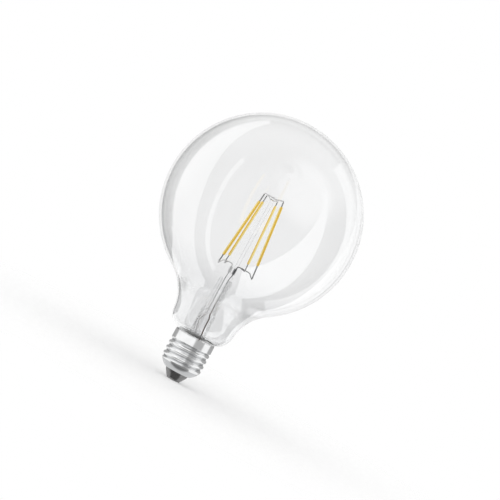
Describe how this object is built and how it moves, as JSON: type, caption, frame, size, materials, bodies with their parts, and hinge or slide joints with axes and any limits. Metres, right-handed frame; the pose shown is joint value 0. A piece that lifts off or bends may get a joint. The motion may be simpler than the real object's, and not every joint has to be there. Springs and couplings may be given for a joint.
{
  "type": "globe bulb",
  "caption": "Clear glass globe bulb with upright amber light strips on a glass stem, and a knuckle-thread screw cap.",
  "frame": {"origin": "centre of the end contact's lower face", "axes": "+Z along the bulb's axis from the contact to the top of the globe; -Y is the front, +X its right"},
  "size_m": [0.124, 0.124, 0.1752],
  "materials": {
    "clear_glass": "clear, polished",
    "stem_glass": "clear, fire polished",
    "cap_metal": "bright rolled sheet",
    "black_glass": "glossy black moulded glass",
    "contact_metal": "dull grey plated contact",
    "cement": "matt cap cement",
    "white_plastic": "matt",
    "board": "matt lacquered laminate",
    "can_metal": "sleeved can",
    "black_plastic": "moulded package",
    "resistor_coat": "painted body",
    "copper": "bare drawn wire",
    "lead_metal": "drawn nickel wire",
    "pin_metal": "rolled strip",
    "phosphor": "amber silicone coat"
  },
  "bodies": {
    "root": {"arm_back_left": "lead_metal", "arm_back_right": "lead_metal", "arm_front_left": "lead_metal", "arm_front_right": "lead_metal", "bridge_rectifier": "black_plastic", "bridge_wire_lower": "lead_metal", "bridge_wire_upper": "lead_metal", "cap_cement": "cement", "cap_insulator": "black_glass", "centre_contact": "contact_metal", "centre_post": "stem_glass", "contact_wire": "copper", "driver_board": "board", "driver_chip": "black_plastic", "driver_sleeve": "white_plastic", "exhaust_tube": "stem_glass", "foot_pin_back_left": "pin_metal", "foot_pin_back_right": "pin_metal", "foot_pin_front_left": "pin_metal", "foot_pin_front_right": "pin_metal", "fuse_resistor": "resistor_coat", "glass_envelope": "clear_glass", "head_pin_back_left": "pin_metal", "head_pin_back_right": "pin_metal", "head_pin_front_left": "pin_metal", "head_pin_front_right": "pin_metal", "inner_lead_left": "lead_metal", "inner_lead_right": "lead_metal", "lead_crimp_left": "lead_metal", "lead_crimp_right": "lead_metal", "light_strip_back_left": "phosphor", "light_strip_back_right": "phosphor", "light_strip_front_left": "phosphor", "light_strip_front_right": "phosphor", "outer_lead_left": "copper", "outer_lead_right": "copper", "screw_shell": "cap_metal", "seal_wire_left": "copper", "seal_wire_right": "copper", "shell_wire": "copper", "smoothing_capacitor": "can_metal", "stem_flare": "stem_glass"}
  },
  "joints": []
}
